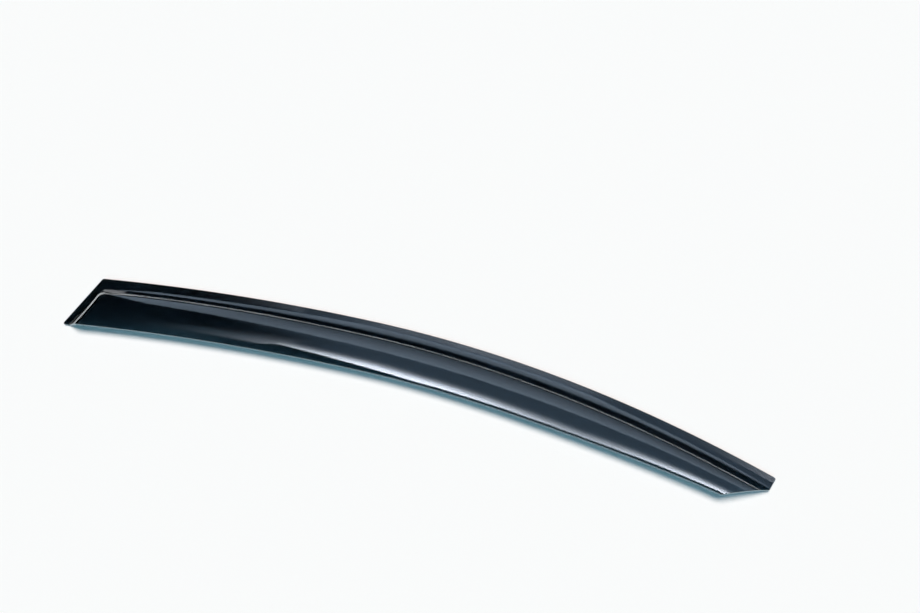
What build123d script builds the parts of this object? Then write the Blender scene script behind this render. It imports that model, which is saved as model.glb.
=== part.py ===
import math
import os

from build123d import *

os.makedirs("parts", exist_ok=True)

# sheet thickness, mm
sheet = 3.0

# top edge: a flat arc from the square end, then a tighter one to the tip
top_radius_square = 2710.0
top_length_square = 385.0
top_radius_tip = 1530.0
top_length_tip = 515.0
top_start_angle = 11.9

# square end, tip and the corners of the trimmed outline
end_length = 79.5
end_angle = 107.8
lower_length = 11.0
lower_angle = 76.0
tip_length = 18.6
tip_angle = 95.5
corner_radius = 2.5
cut_corner_radius = 5.0
lower_radius = 15.0

# free edge: its distance from the top edge at these lengths along that edge
free_stations = (1.0, 250.0, 470.0, 680.0, 852.5)
free_widths = (81.2, 80.8, 78.5, 72.7, 58.2)

# flat bonding flange and the sloping wall between it and the body
flange_width = 18.7
end_flange_width = 9.5
wall_slope = 42.0
wall_corner_radius = 15.0
foot_radius = 5.0
step_inner_radius = 3.0

# crowned body: outer heights at the step and the free edge, and the turn between them
step_height = 10.0
edge_height = 16.0
crown_turn = 34.0

# how far the forming blanks reach past the trimmed outline
side_margin = 8.0
tip_margin = 30.0
crown_margin = 45.0
crown_lead = 14.0
blank_height = 24.0

step_outer_radius = step_inner_radius + sheet
back_foot_radius = foot_radius + sheet
slope_run = 1 / math.tan(math.radians(wall_slope))
step_distance = flange_width + (step_height - sheet) * slope_run
top_length = top_length_square + top_length_tip
square_turn = math.degrees(top_length_square / top_radius_square)
tip_turn = math.degrees(top_length_tip / top_radius_tip)
square_corner = Vector(0, 0)
start_tangent = Vector(1, 0).rotate(Axis.Z, top_start_angle)
start_inward = start_tangent.rotate(Axis.Z, -90)
end_direction = start_tangent.rotate(Axis.Z, -end_angle)

# top edge, led on straight past both ends
with BuildLine() as guide:
    Line(square_corner - start_tangent * crown_margin, square_corner)
    square_arc = JernArc(square_corner, start_tangent, top_radius_square, -square_turn)
    tip_arc = JernArc(square_arc @ 1, square_arc % 1, top_radius_tip, -tip_turn)
    Line(tip_arc @ 1, (tip_arc @ 1) + (tip_arc % 1) * crown_margin)
guide_wire = guide.wire()


def section_plane(station):
    """Upright plane across the top edge, its x running in from the edge."""
    length = station + crown_margin
    origin = guide_wire.position_at(length, position_mode=PositionMode.LENGTH)
    tangent = guide_wire.tangent_at(length, position_mode=PositionMode.LENGTH)
    return Plane(origin, x_dir=tangent.rotate(Axis.Z, -90), z_dir=-tangent)


def edge_point(station, width):
    """Point of the table plane at a distance in from the top edge."""
    return section_plane(station).from_local_coords(Vector(width, 0, 0))


def crown_face(station, width, depth):
    """Section under the crown's outer face, or under a face this much deeper."""
    step = Vector(step_distance, step_height)
    edge = Vector(width, edge_height)
    half = crown_turn / 2
    chord = edge - step
    radius = chord.length / (2 * math.sin(math.radians(half)))
    up = chord.normalized().rotate(Axis.Z, 90)
    centre = (step + edge) * 0.5 - up * radius * math.cos(math.radians(half))
    middle = math.degrees(math.atan2(up.Y, up.X))
    sweep = crown_turn + crown_lead * 2
    with BuildSketch(section_plane(station)) as face:
        with BuildLine():
            arc = CenterArc(centre, radius - depth, middle + sweep / 2, -sweep)
            foot = (arc @ 0) - (arc % 0) * flange_width
            Line(foot, arc @ 0)
            Polyline(arc @ 1, ((arc @ 1).X, -blank_height), (foot.X, -blank_height), foot)
        make_face()
    return face.sketch


def wall_face(inset, end_inset, height):
    """Level section of the raised form, inset from the top edge and the square end."""
    end_side = end_direction.rotate(Axis.Z, 90)
    corner = square_corner + end_side * end_inset
    turn = math.degrees(math.atan2(end_side.Y, end_side.X))
    with BuildSketch(Plane.XY.offset(height)) as face:
        with BuildLine():
            start = square_corner + start_inward * inset
            lead = start - start_tangent * crown_margin
            first = JernArc(start, start_tangent, top_radius_square - inset, -square_turn)
            second = JernArc(first @ 1, first % 1, top_radius_tip - inset, -tip_turn)
            tip = (second @ 1) + (second % 1) * tip_margin
            far_tip = edge_point(top_length + tip_margin, free_widths[-1] + side_margin)
            far = [edge_point(s, w + side_margin) for s, w in zip(free_stations[1:], free_widths[1:])]
            far_end = edge_point(-crown_margin, free_widths[0] + side_margin)
            Line(lead, start)
            Line(second @ 1, tip)
            Polyline(tip, far_tip, *far[::-1], far_end, lead)
        make_face()
        with Locations(Location((corner.X, corner.Y), turn)):
            Rectangle(top_length * 2, top_length, align=(Align.MIN, Align.CENTER), mode=Mode.INTERSECT)
    return face.sketch


def sloping_walls(form):
    """Faces of a form that stand at about the wall slope."""
    return form.faces().filter_by(lambda face: 0.3 < abs(face.normal_at().Z) < 0.88)


def raised_blank(depth, corner, step):
    """Raised form under the sheet's outer face, or under a face this much deeper."""
    base = sheet - depth
    skew = depth / math.sin(math.radians(wall_slope)) - depth * slope_run
    rise = blank_height * slope_run
    stations = (-crown_margin, *free_stations, top_length + crown_margin)
    widths = (free_widths[0], *free_widths, free_widths[-1])
    with BuildPart() as crown:
        for station, width in zip(stations, widths):
            add(crown_face(station, width, depth))
        loft()
    with BuildPart() as blank:
        add(wall_face(flange_width + skew, end_flange_width + skew, base))
        add(wall_face(flange_width + skew + rise, end_flange_width + skew + rise, base + blank_height))
        loft(ruled=True)
        slanted = blank.edges().filter_by(lambda edge: 0.1 < abs((edge % 0.5).Z) < 0.9)
        fillet(slanted.sort_by_distance(square_corner)[0], corner)
        add(crown.part, mode=Mode.INTERSECT)
        steps = [wall.edges().sort_by(Axis.Z)[-1] for wall in sloping_walls(blank)]
        fillet(steps, step)
    return blank.part


def foot_edges(form, height):
    """Edges where the sloping walls of a form meet the flange at this height."""
    edges = sloping_walls(form).edges()
    return edges.filter_by_position(Axis.Z, height - 0.001, height + 0.001)


# trimmed outline, seen from above
with BuildSketch() as outline:
    with BuildLine():
        add(square_arc)
        add(tip_arc)
        tip_corner = tip_arc @ 1
        tip_foot = tip_corner + (tip_arc % 1).rotate(Axis.Z, -tip_angle) * tip_length
        end_foot = square_corner + end_direction * end_length
        lower_foot = end_foot - end_direction.rotate(Axis.Z, -lower_angle) * lower_length
        free = [edge_point(s, w) for s, w in zip(free_stations, free_widths)]
        Polyline(tip_corner, tip_foot, free[-1])
        Spline(*free[::-1])
        Polyline(free[0], lower_foot, end_foot, square_corner)
    make_face()
    for corner in (square_corner, tip_corner, tip_foot, end_foot):
        fillet(outline.vertices().sort_by_distance(corner)[0], corner_radius)
    fillet(outline.vertices().sort_by_distance(free[-1])[0], cut_corner_radius)
    for corner in (free[0], lower_foot):
        fillet(outline.vertices().sort_by_distance(corner)[0], lower_radius)

# formed sheet: flange and raised outer face, hollowed by the inner face, then trimmed
with BuildPart() as shell:
    with BuildSketch():
        with Locations(outline.sketch.bounding_box().center()):
            Rectangle(top_length + crown_margin * 2, end_length * 3)
    extrude(amount=sheet)
    add(raised_blank(0, wall_corner_radius, step_outer_radius))
    fillet(foot_edges(shell, sheet), foot_radius)
    add(raised_blank(sheet, wall_corner_radius - sheet, step_inner_radius), mode=Mode.SUBTRACT)
    fillet(foot_edges(shell, 0), back_foot_radius)
    extrude(outline.sketch, amount=blank_height, mode=Mode.INTERSECT)

with BuildPart() as deflector:
    middle = shell.part.bounding_box().center()
    with Locations((-middle.X, -middle.Y, 0)):
        add(shell.part)
deflector.part.label = "deflector_shell"
export_step(deflector.part, "parts/deflector_shell.step")
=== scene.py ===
import math

import bpy
import numpy as np
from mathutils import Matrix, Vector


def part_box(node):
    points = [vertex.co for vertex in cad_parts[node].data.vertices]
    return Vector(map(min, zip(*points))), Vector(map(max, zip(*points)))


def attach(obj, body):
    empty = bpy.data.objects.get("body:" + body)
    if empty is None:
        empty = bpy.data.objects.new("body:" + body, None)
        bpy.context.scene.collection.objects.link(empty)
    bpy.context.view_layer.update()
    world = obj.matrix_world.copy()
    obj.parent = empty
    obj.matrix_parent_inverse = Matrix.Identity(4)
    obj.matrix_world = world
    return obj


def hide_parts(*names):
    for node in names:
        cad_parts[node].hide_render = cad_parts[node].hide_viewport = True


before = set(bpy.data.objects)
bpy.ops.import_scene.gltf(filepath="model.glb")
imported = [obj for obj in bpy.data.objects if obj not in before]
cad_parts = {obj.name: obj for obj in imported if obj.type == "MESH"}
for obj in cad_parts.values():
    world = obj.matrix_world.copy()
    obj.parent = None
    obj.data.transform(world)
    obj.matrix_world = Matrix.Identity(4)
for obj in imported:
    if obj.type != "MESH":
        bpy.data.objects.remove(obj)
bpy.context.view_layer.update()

metre = 1000.0  # in mm


def deselectAll():
    bpy.ops.object.select_all(action="DESELECT")


def turned(vector, degrees):
    cosine, sine = math.cos(math.radians(degrees)), math.sin(math.radians(degrees))
    return np.array([cosine * vector[0] - sine * vector[1], sine * vector[0] + cosine * vector[1]])


# formed sheet, in mm and degrees; a station is a length along the top edge, a width the distance in from it
shell = {
    "sheet": 3.0,
    # trimmed outline: the top edge's two arcs, square end, corner below it, cut tip and free edge
    "topRadii": (2710.0, 1530.0),
    "topLengths": (385.0, 515.0),
    "startAngle": 11.9,
    "endLength": 79.5,
    "endAngle": 107.8,
    "lowerLength": 11.0,
    "lowerAngle": 76.0,
    "tipLength": 18.6,
    "tipAngle": 95.5,
    "cornerRadius": 2.5,
    "cutCornerRadius": 5.0,
    "freeStations": (1.0, 250.0, 470.0, 680.0, 852.5),
    "freeWidths": (81.2, 80.8, 78.5, 72.7, 58.2),
    "easedEdge": 0.3,
    "easeSegments": 2,
    "easeAngle": 35.0,
    # flange: two faint planes, with their slopes and the width where they meet at the square end, the middle
    # and the tip, and the runs of stations over which those change
    "flange": 18.7,
    "endFlange": 9.5,
    "outerSlopes": (-0.02, -0.102, 0.004),
    "outerChanges": ((240.0, 540.0), (650.0, 760.0)),
    "innerSlopes": (0.19, 0.155, 0.125),
    "planesMeet": (10.2, 6.15, 6.9),
    "innerChanges": ((120.0, 380.0), (650.0, 760.0)),
    "meetLength": 1.6,
    "hollowStart": 9.5,  # hollow up to the wall
    "hollowLength": 5.0,
    "hollowSlope": 0.1,
    "flangeReach": 20.0,  # the planes end here, under the wall
    "flangeEase": 25.5,  # and fade out over this length towards the square end
    # wall, the line where the long one meets the flange at both ends, and the flare at its foot
    "wallSlope": 42.0,
    "wallFoot": (18.3, 19.35),
    "wallStations": (150.0, 650.0),
    "flareStart": 16.2,
    "flareSlope": 26.0,
    "flareRadius": 3.0,
    "footRadius": 4.0,
    "hipRadius": 15.0,
    "hipSpan": 6.0,
    # crown, and the facet that eases the step: its share of the wall and its cut, end wall and long wall
    "stepHeight": 10.0,
    "edgeHeight": 16.0,
    "crownTurn": 34.0,
    "crownReach": 0.95,
    "crestShare": (0.667, 0.52),
    "crestCut": (0.9, 0.17),
    "crestEase": 70.0,
    # height of each blend, as a share of its radius or its cut
    "flareBlend": 0.08,
    "footBlend": (0.302, 0.08),
    "hipBlend": 0.42,
    "crestBlend": 0.5,
    # rows run in from the top edge, columns along it: end and step of each run
    "rows": ((0.6, 0.6), (2.4, 0.9), (6.0, 1.2), (8.0, 0.4), (14.4, 1.0), (17.8, 0.4), (20.6, 0.7),
             (22.8, 0.4), (24.4, 0.8), (29.0, 0.5), (32.0, 1.0)),
    "crownRows": 36,
    "columns": ((0.6, 0.6), (3.0, 0.8), (7.4, 1.1), (12.5, 0.6), (15.5, 0.5), (23.0, 0.42), (31.0, 0.8),
                (46.0, 1.0), (891.0, 1.85), (897.6, 1.1), (899.4, 0.9), (900.0, 0.6)),
    "leanIn": 190.0,  # length over which the columns turn from the square end's line
    "leanOut": 210.0,  # and to the tip's
    "settleRounds": 40,
    # tables of the outline: step, how far their lines are led on, and the steps that round their corners
    "tableStep": 0.25,
    "endLead": 10.0,
    "cutLead": 0.3,
    "cutNear": 4.0,
    "tipRounding": 4,
    "lowRounding": 14,
    "lowRun": 30.0,
    "lowLead": 10.0,
}

firstRadius, secondRadius = shell["topRadii"]
firstLength, secondLength = shell["topLengths"]
topLength = firstLength + secondLength
firstTurn = -math.degrees(firstLength / firstRadius)
secondTurn = -math.degrees(secondLength / secondRadius)
startTangent = turned((1, 0), shell["startAngle"])
startInward = turned(startTangent, -90)
firstCentre = startInward * firstRadius
jointInward = turned(startInward, firstTurn)
secondCentre = firstCentre + turned(-firstCentre, firstTurn) + jointInward * secondRadius
endDirection = turned(startTangent, -shell["endAngle"])
endInward = turned(endDirection, 90)
wallRise = math.tan(math.radians(shell["wallSlope"]))
flareRise = math.tan(math.radians(shell["flareSlope"]))
stepDistance = shell["flange"] + (shell["stepHeight"] - shell["sheet"]) / wallRise


def planPoint(station, width):
    station, width = np.broadcast_arrays(np.asarray(station, float), np.asarray(width, float))
    first = station <= firstLength
    angle = np.where(first, -station / firstRadius, -(station - firstLength) / secondRadius)
    outward = np.where(first[..., None], -startInward, -jointInward)
    centre = np.where(first[..., None], firstCentre, secondCentre)
    reach = np.where(first, firstRadius, secondRadius) - width
    cosine, sine = np.cos(angle), np.sin(angle)
    spoke = np.stack([cosine * outward[..., 0] - sine * outward[..., 1],
                      sine * outward[..., 0] + cosine * outward[..., 1]], -1)
    return centre + spoke * reach[..., None]


def stationAndWidth(points):
    found = []
    for centre, inward, radius, start in ((firstCentre, startInward, firstRadius, 0.0),
                                          (secondCentre, jointInward, secondRadius, firstLength)):
        spoke = points - centre
        angle = np.arctan2(inward[1] * spoke[..., 0] - inward[0] * spoke[..., 1], -(spoke @ inward))
        found.append((start - angle * radius, radius - np.hypot(spoke[..., 0], spoke[..., 1])))
    (firstStation, firstWidth), (secondStation, secondWidth) = found
    first = firstStation <= firstLength
    return np.where(first, firstStation, secondStation), np.where(first, firstWidth, secondWidth)


def naturalSpline(knots, values):
    # smooth curve through the values, with no bend at its ends
    knots, values = np.asarray(knots, float), np.asarray(values, float)
    gaps = np.diff(knots)
    count = len(knots)
    system, right = np.eye(count), np.zeros(count)
    for i in range(1, count - 1):
        system[i, i - 1:i + 2] = gaps[i - 1], 2 * (gaps[i - 1] + gaps[i]), gaps[i]
        right[i] = 6 * ((values[i + 1] - values[i]) / gaps[i] - (values[i] - values[i - 1]) / gaps[i - 1])
    bends = np.linalg.solve(system, right)

    def spline(place):
        i = np.clip(np.searchsorted(knots, place) - 1, 0, count - 2)
        ahead, passed, gap = knots[i + 1] - place, place - knots[i], gaps[i]
        return ((bends[i] * ahead ** 3 + bends[i + 1] * passed ** 3) / (6 * gap)
                + (values[i] / gap - bends[i] * gap / 6) * ahead
                + (values[i + 1] / gap - bends[i + 1] * gap / 6) * passed)
    return spline


freeSpline = naturalSpline(shell["freeStations"], shell["freeWidths"])


def freeWidth(station):
    return freeSpline(np.clip(station, shell["freeStations"][0], shell["freeStations"][-1]))


def softMin(a, b, blend):
    return np.minimum(a, b) - np.maximum(blend - np.abs(a - b), 0) ** 2 / (4 * blend)


def softMax(a, b, blend):
    return np.maximum(a, b) + np.maximum(blend - np.abs(a - b), 0) ** 2 / (4 * blend)


def eased(share):
    share = np.clip(share, 0, 1)
    return share * share * (3 - 2 * share)


def between(pair, share):
    return pair[0] + (pair[1] - pair[0]) * share


def turnedUp(inward, start, length):
    # height of a face whose slope turns smoothly from 0 to 1 over this length
    turning = (inward - start) / length
    within = np.clip(turning, 0, 1)
    return length * (within ** 3 - within ** 4 / 2 + np.maximum(turning - 1, 0))


def alongFlange(station, values, changes):
    result = values[0]
    for (start, end), before, after in zip(changes, values, values[1:]):
        result = result + (after - before) * eased((station - start) / (end - start))
    return result


def flangeRise(station, inward, fromEnd, depth):
    outer = alongFlange(station, shell["outerSlopes"], shell["outerChanges"])
    inner = alongFlange(station, shell["innerSlopes"], shell["innerChanges"])
    meet = alongFlange(station, shell["planesMeet"], shell["innerChanges"])
    rise = (outer * inward + (inner - outer) * turnedUp(inward, meet, shell["meetLength"])
            + shell["hollowSlope"] * turnedUp(inward, shell["hollowStart"], shell["hollowLength"]))
    rise = rise * eased(fromEnd / shell["flangeEase"])
    return np.maximum(rise, 0) if depth else rise  # the back never goes below the table


def wallHeight(inward, rise, depth):
    return shell["sheet"] + rise * inward - depth * math.hypot(1.0, rise)


def longWallHeight(station, width, fromEnd, depth):
    foot = np.interp(station, shell["wallStations"], shell["wallFoot"])
    lift = flangeRise(station, shell["flareStart"], fromEnd, depth)
    flare = wallHeight(width - shell["flareStart"], flareRise, depth) + lift
    blend = shell["flareBlend"] * (shell["flareRadius"] + depth)
    return softMax(wallHeight(width - foot, wallRise, depth), flare, blend)


def crownHeight(station, width, depth):
    reach = freeWidth(station) - stepDistance
    lift = shell["edgeHeight"] - shell["stepHeight"]
    chord = np.hypot(reach, lift)
    half = math.radians(shell["crownTurn"] / 2)
    radius = chord / (2 * math.sin(half))
    centreX = stepDistance + reach / 2 + lift / chord * radius * math.cos(half)
    centreZ = shell["stepHeight"] + lift / 2 - reach / chord * radius * math.cos(half)
    across = width - centreX
    start = (stepDistance - centreX) * (1 - depth / radius)
    startRise = -start / np.sqrt((radius - depth) ** 2 - start ** 2)
    onArc = np.clip(across, start, shell["crownReach"] * radius)
    arc = centreZ + np.sqrt((radius - depth) ** 2 - onArc ** 2)
    return arc + startRise * np.minimum(across - start, 0)  # led on straight past the step


def sheetHeight(points, depth):
    # outer face, or a face this much deeper in the sheet
    station, width = stationAndWidth(points)
    fromEnd = points @ endInward - shell["endFlange"]
    flange = flangeRise(station, np.minimum(width, shell["flangeReach"]), fromEnd, depth)
    longWall = longWallHeight(station, width, fromEnd, depth)
    endWall = wallHeight(fromEnd, wallRise, depth)
    wall = softMin(longWall, endWall, shell["hipBlend"] * (shell["hipRadius"] - depth))
    crown = crownHeight(station, width, depth)
    alongTop = eased(0.5 + (endWall - longWall) / shell["hipSpan"])
    alongCrest = alongTop * eased(fromEnd / shell["crestEase"])
    share, cut = between(shell["crestShare"], alongCrest), between(shell["crestCut"], alongCrest)
    crest = share * wall + (1 - share) * crown - cut
    crestBlend = shell["crestBlend"] * cut
    raised = softMin(softMin(wall, crest, crestBlend), crown, crestBlend)
    footBlend = between(shell["footBlend"], alongTop) * (shell["footRadius"] + depth)
    return softMax(raised, shell["sheet"] - depth + flange, footBlend)


def sampledLine(*corners):
    parts = []
    for start, end in zip(corners[:-1], corners[1:]):
        count = max(2, int(np.hypot(*(end - start)) / shell["tableStep"]))
        parts.append(start + (end - start) * np.linspace(0, 1, count, endpoint=False)[:, None])
    return np.vstack(parts + [corners[-1][None]])


def smoothed(values, steps):
    padded = np.concatenate([np.full(steps, values[0]), values, np.full(steps, values[-1])])
    kernel = np.hanning(2 * steps + 1)
    return np.convolve(padded, kernel / kernel.sum(), mode="valid")


# corners of the trimmed outline
squareCorner = np.zeros(2)
endFoot = endDirection * shell["endLength"]
lowerFoot = endFoot - turned(endDirection, -shell["lowerAngle"]) * shell["lowerLength"]
bodyStart = planPoint(shell["freeStations"][0], shell["freeWidths"][0])
tipTangent = turned(startTangent, firstTurn + secondTurn)
tipDirection = turned(tipTangent, -shell["tipAngle"])
tipCorner = planPoint(topLength, 0.0)
tipFoot = tipCorner + tipDirection * shell["tipLength"]
lastStation = shell["freeStations"][-1]
cutCorner = planPoint(lastStation, shell["freeWidths"][-1])

# tables of the stations where a row starts and ends, and of the widths where a column ends
endLine = sampledLine(squareCorner, endFoot + endDirection * shell["endLead"])
endStations, endWidths = stationAndWidth(endLine)
tipLine = sampledLine(tipCorner, tipFoot, cutCorner, cutCorner + (cutCorner - tipFoot) * shell["cutLead"])
tipStations, tipWidths = stationAndWidth(tipLine)
innerTip = slice(shell["tipRounding"], -shell["tipRounding"])
tipStations[innerTip] = smoothed(tipStations, shell["tipRounding"])[innerTip]
lowStations, lowWidths = stationAndWidth(sampledLine(endFoot, lowerFoot, bodyStart))
tableStep = shell["tableStep"]
pastLow = np.arange(lowStations[-1] + tableStep, shell["lowRun"] + shell["lowLead"], tableStep)
lowTable = np.concatenate([lowStations[:-1], pastLow])
lowTableWidths = smoothed(np.concatenate([lowWidths[:-1], freeWidth(pastLow)]), shell["lowRounding"])


def trimmedWidth(station):
    low = np.interp(station, lowTable, lowTableWidths)
    return np.where(station < shell["lowRun"], low, freeWidth(station))


def roundedCorner(points, corner, alongA, alongB, radius):
    # pulls a sharp corner of the grid in to a round one
    alongA, alongB = alongA / np.hypot(*alongA), alongB / np.hypot(*alongB)
    tangent = radius / math.tan(math.acos(float(alongA @ alongB)) / 2)
    basis = np.linalg.inv(np.stack([alongA, alongB], 1)) / tangent
    flat = points.reshape(-1, 2).copy()
    a, b = basis @ (flat - corner).T
    near = (a < 1) & (b < 1) & (np.abs(a) < 2) & (np.abs(b) < 2)
    p, q = 1 - a[near], 1 - b[near]
    pRound = p * np.sqrt(np.maximum(1 - q * q / 2, 0))
    qRound = q * np.sqrt(np.maximum(1 - p * p / 2, 0))
    flat[near] = corner + tangent * ((1 - pRound)[:, None] * alongA + (1 - qRound)[:, None] * alongB)
    return flat.reshape(points.shape)


def gradedSteps(runs):
    values = [0.0]
    for end, step in runs:
        count = max(1, round((end - values[-1]) / step))
        values.extend(np.linspace(values[-1], end, count + 1)[1:])
    return np.array(values)


def outlineGrid():
    # plan of the grid: its columns settle between the lines of both ends
    columns, rows = gradedSteps(shell["columns"]), gradedSteps(shell["rows"])
    crownShares = np.linspace(0, 1, shell["crownRows"] + 1)[1:]
    flangeWidths = np.broadcast_to(rows, (len(columns), len(rows)))
    along = columns[:, None] * np.ones(len(rows) + len(crownShares))
    leanIn = eased(1 - along / shell["leanIn"])
    leanOut = eased((along - topLength) / shell["leanOut"] + 1)
    station = along.copy()
    for _ in range(shell["settleRounds"]):
        crownWidths = rows[-1] + (trimmedWidth(station[:, len(rows):]) - rows[-1]) * crownShares
        width = np.concatenate([flangeWidths, crownWidths], 1)
        atEnd = np.interp(width, endWidths, endStations)
        atTip = np.interp(width, tipWidths, tipStations)
        station = 0.5 * station + 0.5 * (along + leanIn * atEnd + leanOut * (atTip - topLength))
    points = planPoint(station, width)
    beforeCut = lastStation - shell["cutNear"]
    alongFree = planPoint(beforeCut, freeWidth(beforeCut)) - cutCorner
    for corner, alongA, alongB, radius in (
            (squareCorner, startTangent, endDirection, shell["cornerRadius"]),
            (endFoot, -endDirection, lowerFoot - endFoot, shell["cornerRadius"]),
            (tipCorner, -tipTangent, tipDirection, shell["cornerRadius"]),
            (cutCorner, alongFree, tipFoot - cutCorner, shell["cutCornerRadius"])):
        points = roundedCorner(points, corner, alongA, alongB, radius)
    return points


# flat blank: a grid whose points are set to the rows and columns above
outline = outlineGrid()
columnCount, rowCount = outline.shape[:2]
deselectAll()
bpy.ops.mesh.primitive_grid_add(x_subdivisions=columnCount - 1, y_subdivisions=rowCount - 1, size=1.0)
formedShell = bpy.context.object
formedShell.name = "formedShell"
count = len(formedShell.data.vertices)
blank = np.empty(count * 3)
formedShell.data.vertices.foreach_get("co", blank)
blank = blank.reshape(-1, 3)
column = np.rint((blank[:, 0] + 0.5) * (columnCount - 1)).astype(int)
row = rowCount - 1 - np.rint((blank[:, 1] + 0.5) * (rowCount - 1)).astype(int)
plan = outline[column, row]
low, high = [np.array(corner[:2]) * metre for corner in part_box("deflector_shell")]
planMiddle = (plan.min(0) + plan.max(0)) / 2
placed = (plan - planMiddle) * (high - low) / np.ptp(plan, axis=0) + (high + low) / 2

# thickness by Solidify, then both faces take their formed heights
thicken = formedShell.modifiers.new("sheet", "SOLIDIFY")
thicken.thickness = shell["sheet"] / metre
thicken.offset = -1
bpy.ops.object.modifier_apply(modifier=thicken.name)
formed = np.zeros((count * 2, 3))
formed[:count, :2] = formed[count:, :2] = placed
formed[:count, 2] = sheetHeight(plan, 0.0)
formed[count:, 2] = sheetHeight(plan, shell["sheet"])
formedShell.data.vertices.foreach_set("co", (formed / metre).ravel())
formedShell.data.update()
print("sheet formed, grid", columnCount, rowCount, "highest", formed[:, 2].max())

# eased arrises along the trimmed edge
ease = formedShell.modifiers.new("easedEdge", "BEVEL")
ease.width = shell["easedEdge"] / metre
ease.segments = shell["easeSegments"]
ease.limit_method = "ANGLE"
ease.angle_limit = math.radians(shell["easeAngle"])
ease.harden_normals = True
bpy.ops.object.shade_smooth()
bpy.ops.object.modifier_apply(modifier=ease.name)
print("shell triangles", sum(len(face.vertices) - 2 for face in formedShell.data.polygons))


class Wires:
    # short ways to place the usual nodes in one tree

    def __init__(self, tree):
        self.tree = tree

    def node(self, kind, **settings):
        node = self.tree.nodes.new("ShaderNode" + kind)
        for key, value in settings.items():
            setattr(node, key, value)
        return node

    def join(self, value, socket):
        if isinstance(value, bpy.types.NodeSocket):
            self.tree.links.new(value, socket)
        else:
            socket.default_value = value

    def math(self, operation, *values):
        node = self.node("Math", operation=operation)
        for value, socket in zip(values, node.inputs):
            self.join(value, socket)
        return node.outputs[0]

    def total(self, *values):
        result = values[0]
        for value in values[1:]:
            result = self.math("ADD", result, value)
        return result

    def product(self, *values):
        result = values[0]
        for value in values[1:]:
            result = self.math("MULTIPLY", result, value)
        return result

    def less(self, value, taken):
        return self.math("SUBTRACT", value, taken)

    def ramp(self, value, start, end, first=0.0, last=1.0, kind="SMOOTHSTEP"):
        node = self.node("MapRange", interpolation_type=kind)
        for key, number in (("Value", value), ("From Min", start), ("From Max", end),
                            ("To Min", first), ("To Max", last)):
            self.join(number, node.inputs[key])
        return node.outputs["Result"]

    def bell(self, value, centre, spread):
        offset = self.math("DIVIDE", self.less(value, centre), spread)
        return self.math("EXPONENT", self.product(offset, offset, -0.5))

    def tint(self, value, colour):
        node = self.node("VectorMath", operation="SCALE")
        node.inputs[0].default_value = colour
        self.join(value, node.inputs["Scale"])
        return node.outputs[0]

    def mixedLight(self, *colours):
        result = colours[0]
        for colour in colours[1:]:
            node = self.node("VectorMath", operation="ADD")
            self.join(result, node.inputs[0])
            self.join(colour, node.inputs[1])
            result = node.outputs[0]
        return result

    def place(self, scale=(1, 1, 1), turn=0.0):
        mapping = self.node("Mapping")
        mapping.inputs["Scale"].default_value = scale
        mapping.inputs["Rotation"].default_value = (0, 0, math.radians(turn))
        self.join(self.node("TexCoord").outputs["Object"], mapping.inputs["Vector"])
        return mapping.outputs["Vector"]

    def noise(self, fineness, detail=1.0, **where):
        node = self.node("TexNoise")
        node.inputs["Scale"].default_value = fineness
        node.inputs["Detail"].default_value = detail
        self.join(self.place(**where), node.inputs["Vector"])
        return node.outputs["Fac"]


# fine marks that the polished faces and the trimmed edge share
marks = {
    "inputs": {"Haze": 0.03, "Scuffs": 0.06, "Dust": 0.25, "Ripple": 0.00002, "Saw": 0.0},
    "lineDetail": 2.0,
    "scuffScale": (16, 620, 620),
    "scuffTurn": -8.0,
    "scuffLevels": (0.60, 0.72),
    "patchFineness": 7.0,
    "patchLevels": (0.45, 0.65),
    "dustCells": 170.0,
    "dustSize": (0.05, 0.09),
    "dustChance": (0.86, 0.87),
    "dustHeight": 0.00002,
    "sawScale": (900, 900, 60),
    "sawRoughness": 3000.0,
    "rippleFineness": 16.0,
}


def sheetMarksGroup():
    group = bpy.data.node_groups.new("sheetMarks", "ShaderNodeTree")
    for name, value in marks["inputs"].items():
        socket = group.interface.new_socket(name, in_out="INPUT", socket_type="NodeSocketFloat")
        socket.default_value = value
    for name in ("Roughness", "Height"):
        group.interface.new_socket(name, in_out="OUTPUT", socket_type="NodeSocketFloat")
    wires = Wires(group)
    given = group.nodes.new("NodeGroupInput").outputs
    result = group.nodes.new("NodeGroupOutput").inputs
    # hairline scuffs along the length, in patches
    hairs = wires.noise(1.0, marks["lineDetail"], scale=marks["scuffScale"], turn=marks["scuffTurn"])
    lines = wires.ramp(hairs, *marks["scuffLevels"])
    patches = wires.ramp(wires.noise(marks["patchFineness"]), *marks["patchLevels"])
    scuffs = wires.product(lines, patches, given["Scuffs"])
    # dust: small specks in a few of the cells
    cells = wires.node("TexVoronoi")
    cells.inputs["Scale"].default_value = marks["dustCells"]
    wires.join(wires.place(), cells.inputs["Vector"])
    chance = wires.node("SeparateColor")
    wires.join(cells.outputs["Color"], chance.inputs[0])
    specks = wires.product(wires.ramp(cells.outputs["Distance"], *marks["dustSize"], 1.0, 0.0),
                           wires.ramp(chance.outputs[0], *marks["dustChance"]))
    dust = wires.product(specks, given["Dust"])
    # lines that the saw leaves across the trimmed edge, and a faint ripple in the sheet
    saw = wires.product(wires.noise(1.0, marks["lineDetail"], scale=marks["sawScale"]), given["Saw"])
    ripple = wires.product(wires.noise(marks["rippleFineness"], 0.0), given["Ripple"])
    sawn = wires.product(saw, marks["sawRoughness"])
    wires.join(wires.total(given["Haze"], scuffs, dust, sawn), result["Roughness"])
    wires.join(wires.total(ripple, saw, wires.product(specks, marks["dustHeight"])), result["Height"])
    return group


sheetMarks = sheetMarksGroup()

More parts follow.
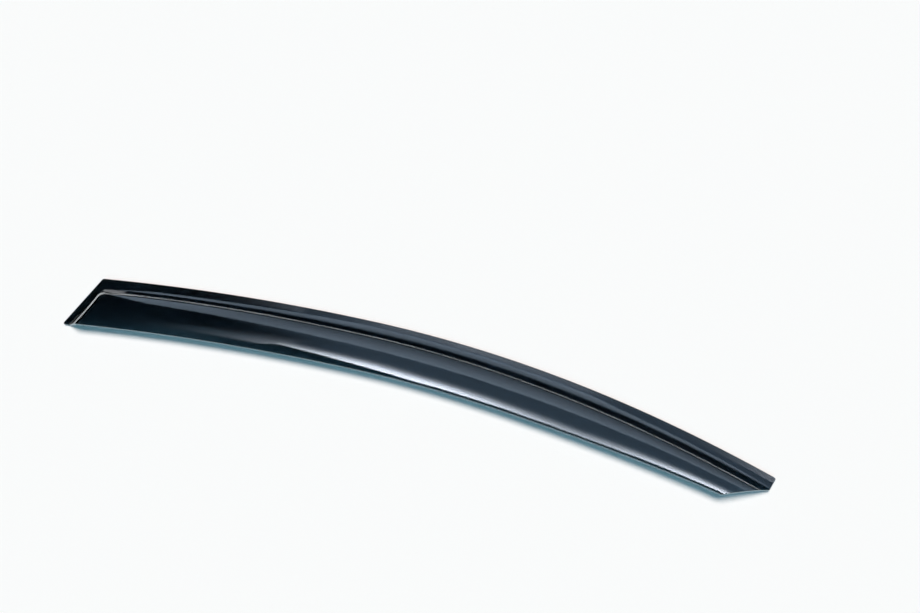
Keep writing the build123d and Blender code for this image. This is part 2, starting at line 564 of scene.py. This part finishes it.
acrylic = {
    "ior": 1.49,
    "absorbColour": (0.0, 0.126, 0.204, 1.0),
    "absorbDensity": 910.0,
    "polished": {
        "colour": (1.0, 1.0, 1.0, 1.0),
        "clear": 1.0,
        "gloss": 0.5,
        "marks": {"Haze": 0.028, "Scuffs": 0.03, "Dust": 0.2, "Ripple": 0.00001, "Saw": 0.0},
    },
    "trimmed": {
        "colour": (0.12, 0.24, 0.29, 1.0),
        "clear": 0.5,
        "gloss": 0.2,
        "marks": {"Haze": 0.30, "Scuffs": 0.1, "Dust": 0.1, "Ripple": 0.0, "Saw": 0.00004},
    },
    "trimmedFacing": 0.5,  # faces that look up or down less than this were trimmed
}


def smokedSheet(name, finish):
    material = bpy.data.materials.new(name)
    material.use_nodes = True
    tree = material.node_tree
    wires = Wires(tree)
    shader, output = tree.nodes["Principled BSDF"], tree.nodes["Material Output"]
    shader.inputs["Base Color"].default_value = finish["colour"]
    shader.inputs["IOR"].default_value = acrylic["ior"]
    shader.inputs["Transmission Weight"].default_value = finish["clear"]
    shader.inputs["Specular IOR Level"].default_value = finish["gloss"]
    absorb = wires.node("VolumeAbsorption")
    absorb.inputs["Color"].default_value = acrylic["absorbColour"]
    absorb.inputs["Density"].default_value = acrylic["absorbDensity"]
    wires.join(absorb.outputs["Volume"], output.inputs["Volume"])
    surface = wires.node("Group", node_tree=sheetMarks)
    for key, value in finish["marks"].items():
        surface.inputs[key].default_value = value
    wires.join(surface.outputs["Roughness"], shader.inputs["Roughness"])
    bump = wires.node("Bump")
    bump.inputs["Distance"].default_value = 1.0
    wires.join(surface.outputs["Height"], bump.inputs["Height"])
    wires.join(bump.outputs["Normal"], shader.inputs["Normal"])
    return material


mesh = formedShell.data
mesh.materials.clear()
mesh.materials.append(smokedSheet("smokedAcrylic", acrylic["polished"]))
mesh.materials.append(smokedSheet("trimmedEdge", acrylic["trimmed"]))
for face in mesh.polygons:
    face.material_index = 1 if abs(face.normal.z) < acrylic["trimmedFacing"] else 0
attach(formedShell, "root")
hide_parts("deflector_shell")
print("shell dressed, trimmed faces", sum(face.material_index for face in mesh.polygons))


def stageSheet(name, corners):
    deselectAll()
    bpy.ops.mesh.primitive_plane_add(size=1.0)
    sheet = bpy.context.object
    sheet.name = name
    for index, corner in zip((0, 1, 3, 2), corners):
        sheet.data.vertices[index].co = corner
    sheet.data.update()
    return sheet


# pale table, in metres, just under the shell; in the gloss it shows as bright as the white round it
table = {
    "half": 6.0,
    "height": -0.0003,
    "colour": (0.93, 0.93, 0.93, 1.0),
    "mirrorGlow": 1.0,
    "glowColour": (0.84, 0.95, 1.0, 1.0),
}


def layTable():
    half, height = table["half"], table["height"]
    floor = stageSheet("tableTop", [(-half, -half, height), (half, -half, height),
                                    (half, half, height), (-half, half, height)])
    pale = bpy.data.materials.new("paleTable")
    pale.use_nodes = True
    wires = Wires(pale.node_tree)
    shader = pale.node_tree.nodes["Principled BSDF"]
    shader.inputs["Base Color"].default_value = table["colour"]
    shader.inputs["Roughness"].default_value = 1.0
    shader.inputs["Specular IOR Level"].default_value = 0.0
    shader.inputs["Emission Color"].default_value = table["glowColour"]
    rays = wires.node("LightPath").outputs
    mirrored = wires.product(rays["Is Glossy Ray"], wires.less(1.0, rays["Is Transmission Ray"]))
    wires.join(wires.product(mirrored, table["mirrorGlow"]), shader.inputs["Emission Strength"])
    pale.cycles.emission_sampling = "NONE"
    floor.data.materials.append(pale)


layTable()
print("table laid")


def lightBox(name, corners):
    # only reflections and rays through the sheet see it
    box = stageSheet(name, corners)
    box.visible_camera = box.visible_diffuse = box.visible_shadow = box.visible_volume_scatter = False
    material = bpy.data.materials.new(name + "Glow")
    material.use_nodes = True
    tree = material.node_tree
    tree.nodes.clear()
    wires = Wires(tree)
    glow = wires.node("Emission")
    place = wires.node("SeparateXYZ")
    wires.join(wires.node("TexCoord").outputs["Object"], place.inputs[0])
    wires.join(glow.outputs[0], wires.node("OutputMaterial").inputs["Surface"])
    material.cycles.emission_sampling = "NONE"
    box.data.materials.append(material)
    return wires, place.outputs, glow.inputs["Color"]


# both light boxes, in metres: their reach, and the faint light round the lamp and the screen
room = {
    "half": 3.0,
    "roof": 1.2,
    "faintRun": (-0.98, -0.42),
    "faintColour": (0.5, 0.75, 1.06),
}

# lamp overhead
lampBox = {
    "front": -1.5,
    "back": 1.6,
    "bulbs": ((25.5, -0.27, 0.24), (20.0, 0.66, 0.22), (3.0, 0.15, 0.35)),  # strength, place and spread
    "colour": (0.93, 1.0, 1.12),
    "edge": 0.165,  # front edge, which turns back at both sides: start, end and how far
    "leftTurn": (-0.25, -0.69, 0.22),
    "rightTurn": (0.25, 3.0, 0.935),
    "edgeStart": -0.012,
    "edgeSoft": 0.025,
    "fallRun": (-0.65, -0.3),  # the light falls off to the back, sooner at the left
    "fall": (0.095, 0.127),
    "wingRun": (-0.70, -0.675),  # left wing: dimmer and softer, and its edge lies nearer
    "wingNearer": 0.15,
    "wingSoft": 0.09,
    "wingFall": 0.16,
    "wingLevel": 0.55,
    "faintSoft": 0.1,
    "patchPlace": -0.9,  # faint patch at the far left
    "patchSpread": 0.1,
    "patchFront": (0.0, 0.06),
    "patchBack": (0.5, 0.58),
    "patchColour": (0.15, 0.3, 0.42),
}


def hangLampBox():
    half, roof = room["half"], room["roof"]
    front, back = lampBox["front"], lampBox["back"]
    wires, place, colour = lightBox("lampBox", [(-half, front, roof), (half, front, roof),
                                                (half, back, roof), (-half, back, roof)])
    x, y = place["X"], place["Y"]

    def turn(start, end, reach):
        return wires.ramp(x, start, end, 0.0, reach, kind="LINEAR")

    def inWing(value, elsewhere):
        return wires.ramp(x, *lampBox["wingRun"], value, elsewhere)

    edge = wires.total(turn(*lampBox["leftTurn"]), turn(*lampBox["rightTurn"]),
                       inWing(-lampBox["wingNearer"], 0.0), lampBox["edge"])
    behind = wires.less(y, edge)
    fall = wires.total(wires.ramp(x, *lampBox["fallRun"], *lampBox["fall"]), inWing(lampBox["wingFall"], 0.0))
    bulbs = wires.total(*[wires.product(wires.bell(x, centre, spread), strength)
                          for strength, centre, spread in lampBox["bulbs"]])
    sharp = wires.ramp(behind, lampBox["edgeStart"], inWing(lampBox["wingSoft"], lampBox["edgeSoft"]))
    lamp = wires.product(bulbs, wires.bell(behind, 0.0, fall), sharp, inWing(lampBox["wingLevel"], 1.0))
    faint = wires.product(wires.ramp(x, *room["faintRun"]),
                          wires.ramp(behind, lampBox["edgeStart"], lampBox["faintSoft"]))
    patch = wires.product(wires.bell(x, lampBox["patchPlace"], lampBox["patchSpread"]),
                          wires.ramp(y, *lampBox["patchFront"]),
                          wires.ramp(y, *lampBox["patchBack"], 1.0, 0.0))
    wires.join(wires.mixedLight(wires.tint(lamp, lampBox["colour"]), wires.tint(faint, room["faintColour"]),
                                wires.tint(patch, lampBox["patchColour"])), colour)


# pale screen behind
screenBox = {
    "distance": 0.9,
    "colour": (0.78, 1.0, 1.27),
    "top": 0.9,  # upper edge, which drops to both sides
    "arch": -0.25,
    "topSoft": (-0.02, 0.03),
    "glowRun": (0.16, 0.85),  # brighter towards the top
    "glow": 2.7,
    "sideLean": 0.3,  # left side, which leans in towards the top
    "sideRun": (-1.335, -1.31),
    "leftRun": (-0.95, -0.55),  # evenly lit at the left
    "leftFoot": (0.24, 0.34),
    "leftGlow": 1.5,
    "lowEdges": ((-1.19, -1.165), (-1.6, -1.4)),  # low patch at the far left
    "lowTop": (0.2, 0.3),
    "lowColour": (1.3, 1.34, 1.42),
}


def hangScreenBox():
    half, roof, distance = room["half"], room["roof"], screenBox["distance"]
    wires, place, colour = lightBox("screenBox", [(-half, distance, 0), (half, distance, 0),
                                                  (half, distance, roof), (-half, distance, roof)])
    x, z = place["X"], place["Z"]
    top = wires.math("MULTIPLY_ADD", wires.product(x, x), screenBox["arch"], screenBox["top"])
    below = wires.ramp(wires.less(top, z), *screenBox["topSoft"])
    rising = wires.ramp(z, *screenBox["glowRun"], 0.0, screenBox["glow"], kind="LINEAR")
    even = wires.ramp(z, *screenBox["leftFoot"], 0.0, screenBox["leftGlow"])
    toLeft = wires.ramp(x, *screenBox["leftRun"], 1.0, 0.0)
    glow = wires.total(wires.product(rising, wires.less(1.0, toLeft)), wires.product(toLeft, even))
    leaning = wires.less(x, wires.product(z, screenBox["sideLean"]))
    pane = wires.product(below, glow, wires.ramp(leaning, *screenBox["sideRun"]))
    faint = wires.product(wires.ramp(x, *room["faintRun"]), wires.less(1.0, below))
    rightEdge, leftEdge = screenBox["lowEdges"]
    patch = wires.product(wires.ramp(x, *rightEdge, 1.0, 0.0), wires.ramp(x, *leftEdge),
                          wires.ramp(z, *screenBox["lowTop"], 1.0, 0.0))
    wires.join(wires.mixedLight(wires.tint(pane, screenBox["colour"]), wires.tint(faint, room["faintColour"]),
                                wires.tint(patch, screenBox["lowColour"])), colour)


hangLampBox()
hangScreenBox()
print("light boxes hung")

# soft suns that light the table, one overhead and one low in front; the gloss doesn't show them
lamps = {
    "keyLamp": {"tilt": -6.5, "turn": 10.0, "strength": 3.02, "spread": 36.0, "colour": (1.0, 0.918, 0.877)},
    "frontFill": {"tilt": 55.0, "turn": 10.0, "strength": 0.94, "spread": 40.0, "colour": (0.30, 0.81, 1.0)},
}
lampHeight = 2.0
for name, lamp in lamps.items():
    deselectAll()
    bpy.ops.object.light_add(type="SUN", location=(0, 0, lampHeight),
                             rotation=(math.radians(lamp["tilt"]), 0, math.radians(lamp["turn"])))
    light = bpy.context.object
    light.name = name
    light.data.energy = lamp["strength"]
    light.data.angle = math.radians(lamp["spread"])
    light.data.color = lamp["colour"]
    light.visible_glossy = light.visible_transmission = False

# world: white to the camera, the gloss and through the sheet, a faint fill to the rest
studio = {"white": (0.97, 0.97, 0.97, 1.0), "fill": (0.02, 0.025, 0.03, 1.0)}
world = bpy.data.worlds.new("studio")
bpy.context.scene.world = world
world.use_nodes = True
wires = Wires(world.node_tree)
rays = wires.node("LightPath").outputs
shown = wires.math("MAXIMUM", rays["Is Camera Ray"], rays["Is Glossy Ray"])
shown = wires.math("MAXIMUM", shown, rays["Is Transmission Ray"])
either = wires.node("Mix", data_type="RGBA")
wires.join(shown, either.inputs["Factor"])
either.inputs[6].default_value = studio["fill"]  # the node's two colours, and its mixed colour
either.inputs[7].default_value = studio["white"]
wires.join(either.outputs[2], world.node_tree.nodes["Background"].inputs["Color"])

# camera at the photograph's place, in metres and degrees, its lens in mm
view = {"place": (0.20108, -0.38334, 0.797), "tilt": 33.83, "heading": 18.42, "lens": 28.29, "sensor": 36.0}
deselectAll()
bpy.ops.object.camera_add(location=view["place"],
                          rotation=(math.radians(view["tilt"]), 0, math.radians(view["heading"])))
camera = bpy.context.object
camera.data.sensor_width = view["sensor"]
camera.data.lens = view["lens"]
bpy.context.scene.camera = camera
bpy.context.scene.view_settings.view_transform = "Standard"
print("lamps and camera set")
